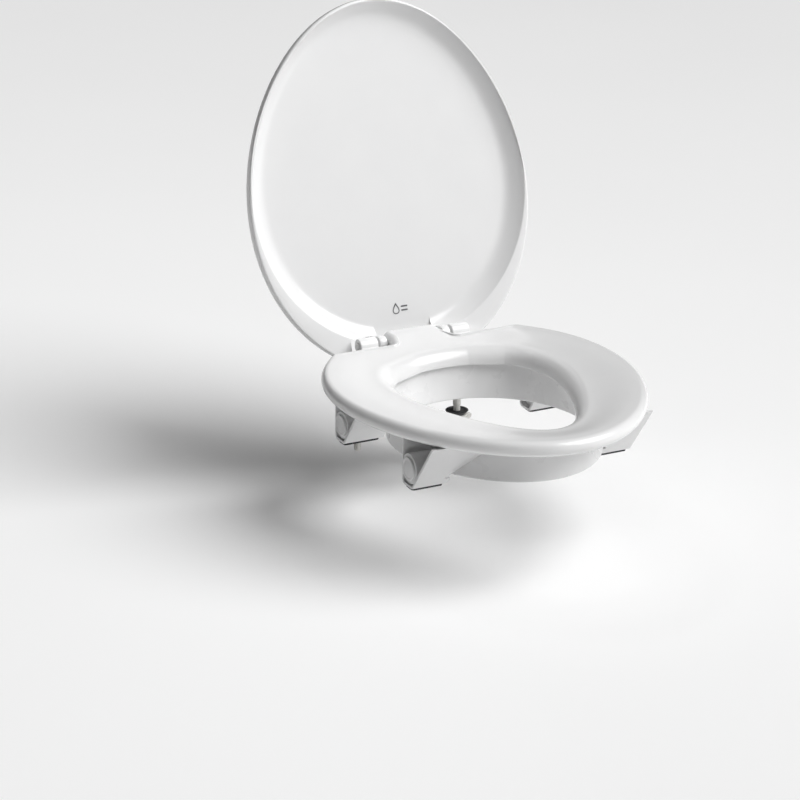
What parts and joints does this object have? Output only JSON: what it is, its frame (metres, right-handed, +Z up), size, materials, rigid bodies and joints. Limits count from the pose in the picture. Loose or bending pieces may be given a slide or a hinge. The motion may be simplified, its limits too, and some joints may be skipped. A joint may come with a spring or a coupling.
{
  "type": "raised toilet seat",
  "caption": "Raised seat ring on hollow stand-off legs with a splash guard and a hinged lid, bolted to a bowl's seat holes by tall hinge posts.",
  "frame": {"origin": "midway between the two mounting bolts, on the plane of the bowl rim that the feet and post pads rest on", "axes": "+Z up, -Y towards the front of the seat, +X to the sitter's left; the hinge axis runs along X"},
  "size_m": [0.381, 0.563, 0.544],
  "materials": {
    "white_gloss_seat_ring": "gloss",
    "white_gloss_lid": "gloss",
    "white_splash_guard": "semi-gloss",
    "white_ring_base": "satin",
    "white_leg": "semi-gloss",
    "white_leg_cap": "semi-gloss",
    "white_hinge_post": "semi-gloss",
    "white_bolt_cap": "gloss",
    "hinge_bushing": "satin",
    "foot_pad_rubber": "matte",
    "post_pad_rubber": "matte",
    "hinge_pin_nylon": "satin",
    "mount_bolt_nylon": "satin",
    "wing_nut_nylon": "satin",
    "deck_washer_rubber": "matte",
    "screw_steel": "satin",
    "emblem_print": "matte"
  },
  "bodies": {
    "mount": {"bolt_cap_left": "white_bolt_cap", "bolt_cap_right": "white_bolt_cap", "deck_washer_left": "deck_washer_rubber", "deck_washer_right": "deck_washer_rubber", "hinge_pin_left": "hinge_pin_nylon", "hinge_pin_right": "hinge_pin_nylon", "hinge_post_left": "white_hinge_post", "hinge_post_right": "white_hinge_post", "mount_bolt_left": "mount_bolt_nylon", "mount_bolt_right": "mount_bolt_nylon", "post_pad_left": "post_pad_rubber", "post_pad_right": "post_pad_rubber", "wing_nut_left": "wing_nut_nylon", "wing_nut_right": "wing_nut_nylon"},
    "seat": {"base_screw_1": "screw_steel", "base_screw_2": "screw_steel", "base_screw_3": "screw_steel", "base_screw_4": "screw_steel", "base_screw_5": "screw_steel", "base_screw_6": "screw_steel", "base_screw_7": "screw_steel", "base_screw_8": "screw_steel", "foot_pad_front_left": "foot_pad_rubber", "foot_pad_front_right": "foot_pad_rubber", "foot_pad_rear_left": "foot_pad_rubber", "foot_pad_rear_right": "foot_pad_rubber", "guard_screw_1": "screw_steel", "guard_screw_2": "screw_steel", "guard_screw_3": "screw_steel", "guard_screw_4": "screw_steel", "guard_screw_5": "screw_steel", "guard_screw_6": "screw_steel", "hinge_bushing_left": "hinge_bushing", "hinge_bushing_right": "hinge_bushing", "leg_cap_front_left": "white_leg_cap", "leg_cap_front_right": "white_leg_cap", "leg_cap_rear_left": "white_leg_cap", "leg_cap_rear_right": "white_leg_cap", "leg_front_left": "white_leg", "leg_front_right": "white_leg", "leg_rear_left": "white_leg", "leg_rear_right": "white_leg", "ring_base": "white_ring_base", "seat_ring": "white_gloss_seat_ring", "splash_guard": "white_splash_guard"},
    "lid": {"lid": "white_gloss_lid", "lid_emblem": "emblem_print"}
  },
  "joints": [
    {"name": "seat_hinge", "type": "hinge", "parent": "mount", "child": "seat", "pos_m": [0, -0.014, 0.077], "axis": [-1, 0, 0], "range_deg": [0, 95]},
    {"name": "lid_hinge", "type": "hinge", "parent": "seat", "child": "lid", "pos_m": [0, -0.014, 0.077], "axis": [-1, 0, 0], "range_deg": [-105, 0]}
  ]
}
